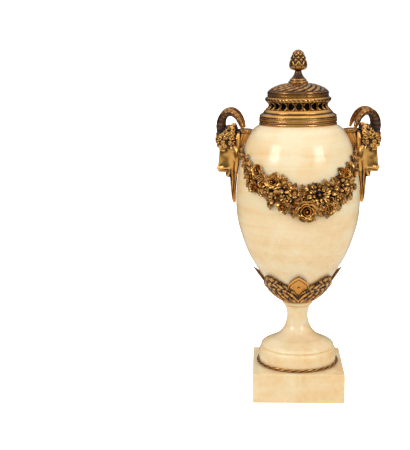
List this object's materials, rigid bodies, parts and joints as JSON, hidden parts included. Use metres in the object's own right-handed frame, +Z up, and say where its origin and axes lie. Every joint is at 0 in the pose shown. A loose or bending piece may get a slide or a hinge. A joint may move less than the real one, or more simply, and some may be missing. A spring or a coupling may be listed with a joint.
{
  "type": "marble vase",
  "caption": "Covered egg-shaped marble vase on a trumpet foot and square plinth, with bronze ram's head handles, flower garlands, leaf calyx, pierced gallery and pine cone lid.",
  "frame": {"origin": "centre of the plinth's underside", "axes": "+Z up; the handles stand along X and the front garland faces -Y"},
  "size_m": [0.1896, 0.1628, 0.399],
  "materials": {
    "cream_marble": "polished cream marble with soft peach and amber clouds",
    "gilt_bronze": "antique gilt bronze, bright on the high places and dark brown in the hollows"
  },
  "bodies": {
    "root": {"plinth": "cream_marble", "foot": "cream_marble", "body": "cream_marble", "foot_ring": "gilt_bronze", "calyx": "gilt_bronze", "collar": "gilt_bronze", "pierced_gallery": "gilt_bronze", "lid": "gilt_bronze", "finial": "gilt_bronze", "handle_left": "gilt_bronze", "handle_right": "gilt_bronze", "garland_front": "gilt_bronze", "garland_back": "gilt_bronze"}
  },
  "joints": []
}
